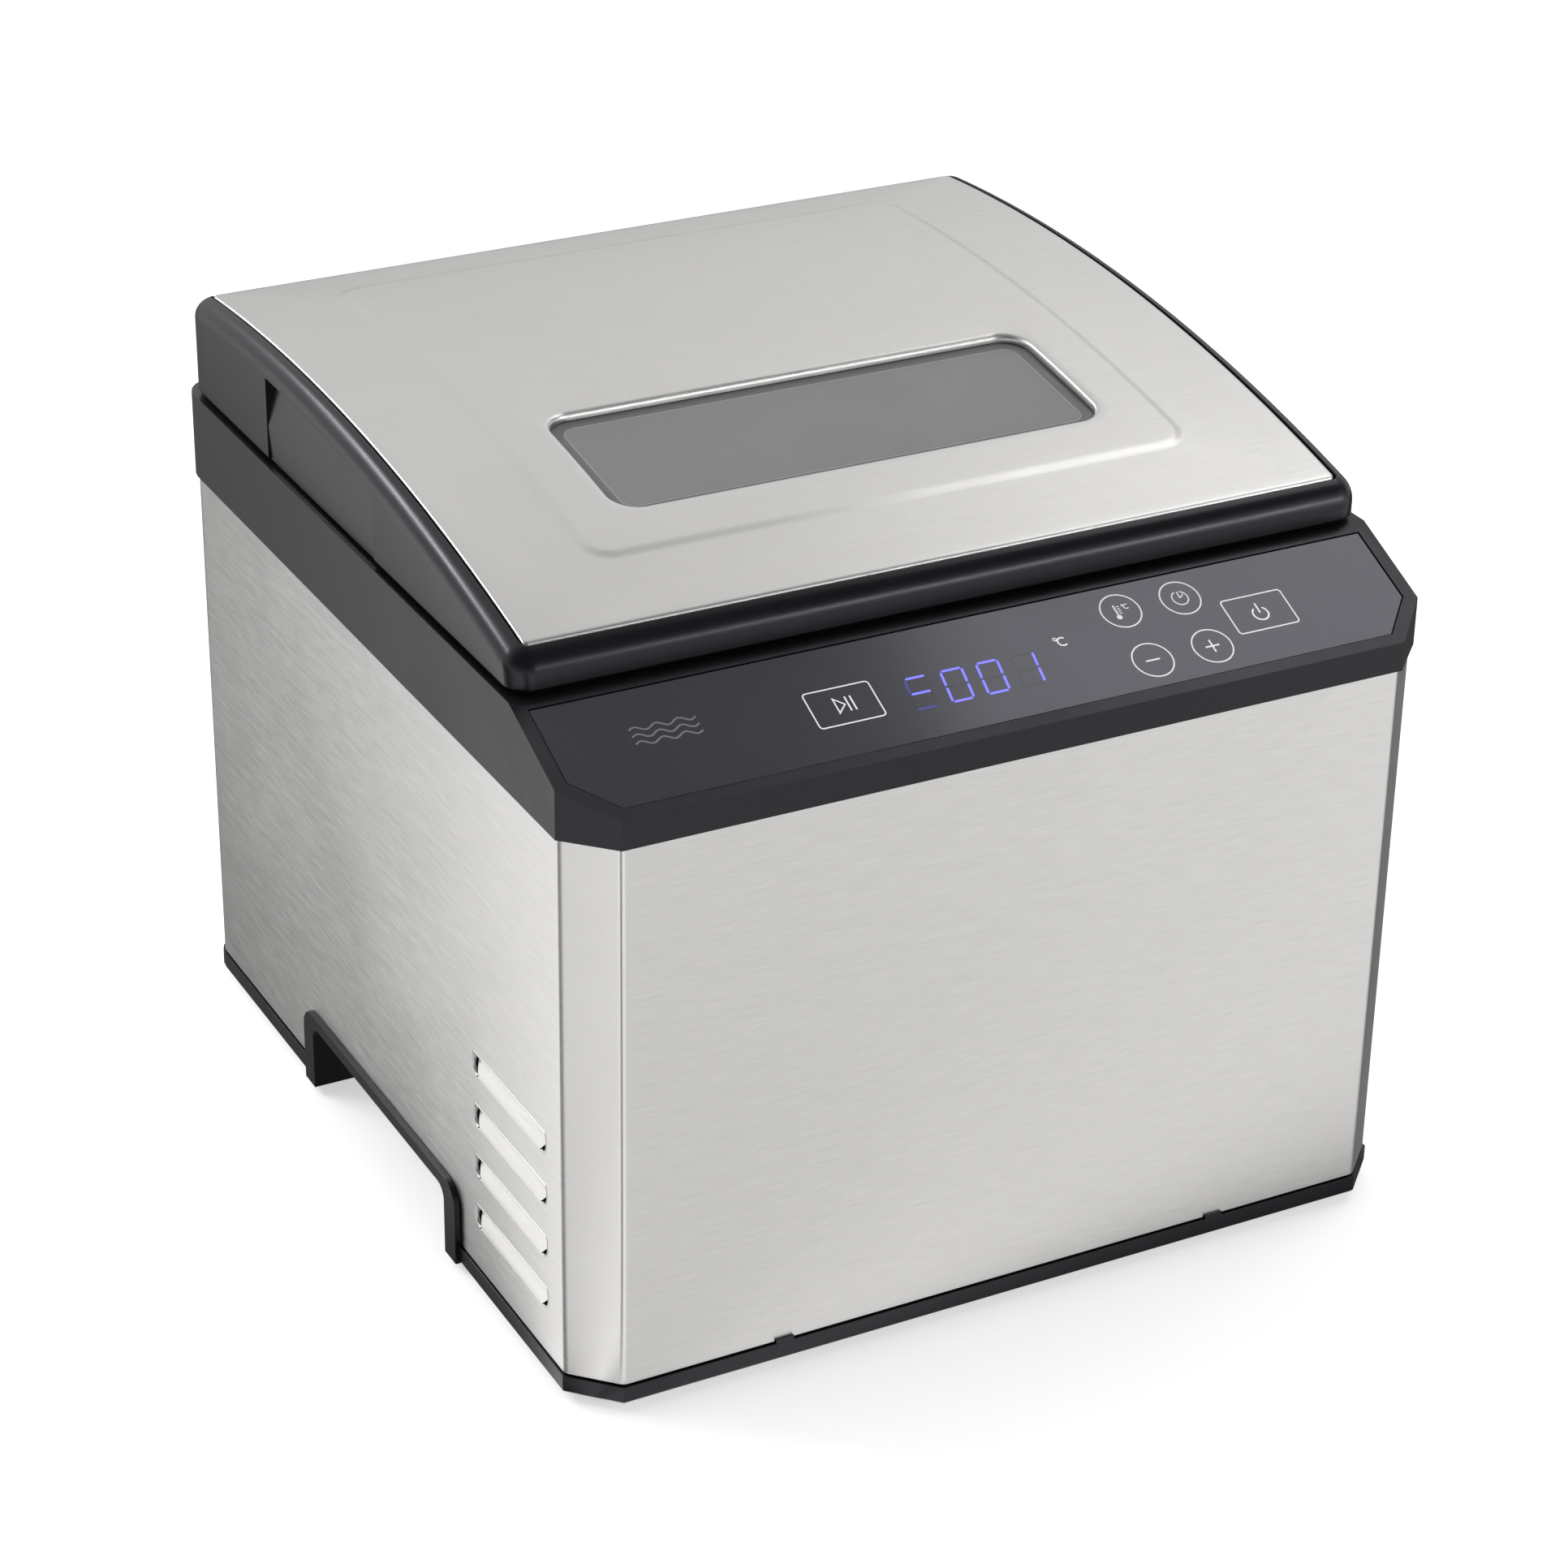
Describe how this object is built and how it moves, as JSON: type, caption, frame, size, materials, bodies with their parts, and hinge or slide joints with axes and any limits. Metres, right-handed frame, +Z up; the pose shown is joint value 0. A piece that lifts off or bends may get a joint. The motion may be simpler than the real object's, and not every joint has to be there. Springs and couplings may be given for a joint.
{
  "type": "sous vide water oven",
  "caption": "Countertop sous vide water bath: steel-wrapped case, sloped touch panel, drawn tank with pouch rack, and a lift-off domed lid with a window.",
  "frame": {"origin": "on the table, under the middle of the footprint", "axes": "+X to the user's right when facing the controls, -Y towards the user (control panel side), +Z up"},
  "size_m": [0.3334, 0.3516, 0.2942],
  "materials": {
    "brushed_steel": "fine straight grain, satin",
    "tank_steel": "drawn stainless, soft satin",
    "rack_steel": "electropolished wire and sheet",
    "screw_steel": "zinc plated",
    "zinc_sheet": "zinc coated sheet",
    "black_plastic": "fine moulded texture, satin",
    "inlet_plastic": "fine moulded",
    "overlay_gloss": "smooth gloss",
    "frosted_glass": "frosted",
    "silicone": "matt",
    "foot_rubber": "matt",
    "liner_plastic": "matt moulded",
    "board_green": "solder mask",
    "aluminium": "cast",
    "brass": "nickel washed",
    "component_dark": "moulded case",
    "component_blue": "moulded case",
    "core_steel": "varnished",
    "display": "smoked face"
  },
  "bodies": {
    "housing": {"base_screw_1": "screw_steel", "base_screw_2": "screw_steel", "base_screw_3": "screw_steel", "base_screw_4": "screw_steel", "base_tray": "black_plastic", "board_bracket": "zinc_sheet", "capacitor": "component_dark", "control_board": "board_green", "control_overlay": "overlay_gloss", "control_screw_1": "screw_steel", "control_screw_2": "screw_steel", "display_module": "display", "foot_front_left": "foot_rubber", "foot_front_right": "foot_rubber", "foot_rear_left": "foot_rubber", "foot_rear_right": "foot_rubber", "heat_sink": "aluminium", "heater_bracket_left": "zinc_sheet", "heater_bracket_right": "zinc_sheet", "heater_plate": "aluminium", "heating_element": "core_steel", "inlet_pin_earth": "brass", "inlet_pin_line": "brass", "inlet_pin_neutral": "brass", "inlet_screw_1": "screw_steel", "inlet_screw_2": "screw_steel", "inner_tank": "tank_steel", "outer_casing": "brushed_steel", "power_board": "board_green", "power_inlet": "inlet_plastic", "power_relay": "component_blue", "probe_clip": "zinc_sheet", "rear_cover": "zinc_sheet", "rear_screw_1": "screw_steel", "rear_screw_2": "screw_steel", "rear_screw_3": "screw_steel", "rear_screw_4": "screw_steel", "temperature_probe": "tank_steel", "thermal_cutout": "component_dark", "top_frame": "black_plastic", "transformer": "core_steel"},
    "lid": {"lid_frame": "black_plastic", "lid_liner": "liner_plastic", "lid_seal": "silicone", "lid_skin": "brushed_steel", "liner_screw_1": "screw_steel", "liner_screw_2": "screw_steel", "liner_screw_3": "screw_steel", "liner_screw_4": "screw_steel", "window_gasket": "silicone", "window_glass": "frosted_glass"},
    "rack": {"rack_base": "rack_steel", "rack_divider_1": "rack_steel", "rack_divider_2": "rack_steel", "rack_divider_3": "rack_steel", "rack_divider_4": "rack_steel", "rack_divider_5": "rack_steel", "rack_handle_left": "rack_steel", "rack_handle_right": "rack_steel"},
    "grille": {"bottom_grille": "rack_steel"}
  },
  "joints": [
    {"name": "lid_lift", "type": "slide", "parent": "housing", "child": "lid", "axis": [0, 0, 1], "range_m": [0, 0.36]},
    {"name": "rack_lift", "type": "slide", "parent": "housing", "child": "rack", "axis": [0, 0, 1], "range_m": [0, 0.18]},
    {"name": "grille_lift", "type": "slide", "parent": "housing", "child": "grille", "axis": [0, 0, 1], "range_m": [0, 0.072]}
  ],
  "couplings": [
    {"joint": "rack_lift", "follows": "lid_lift", "ratio": 0.5},
    {"joint": "grille_lift", "follows": "lid_lift", "ratio": 0.2}
  ]
}
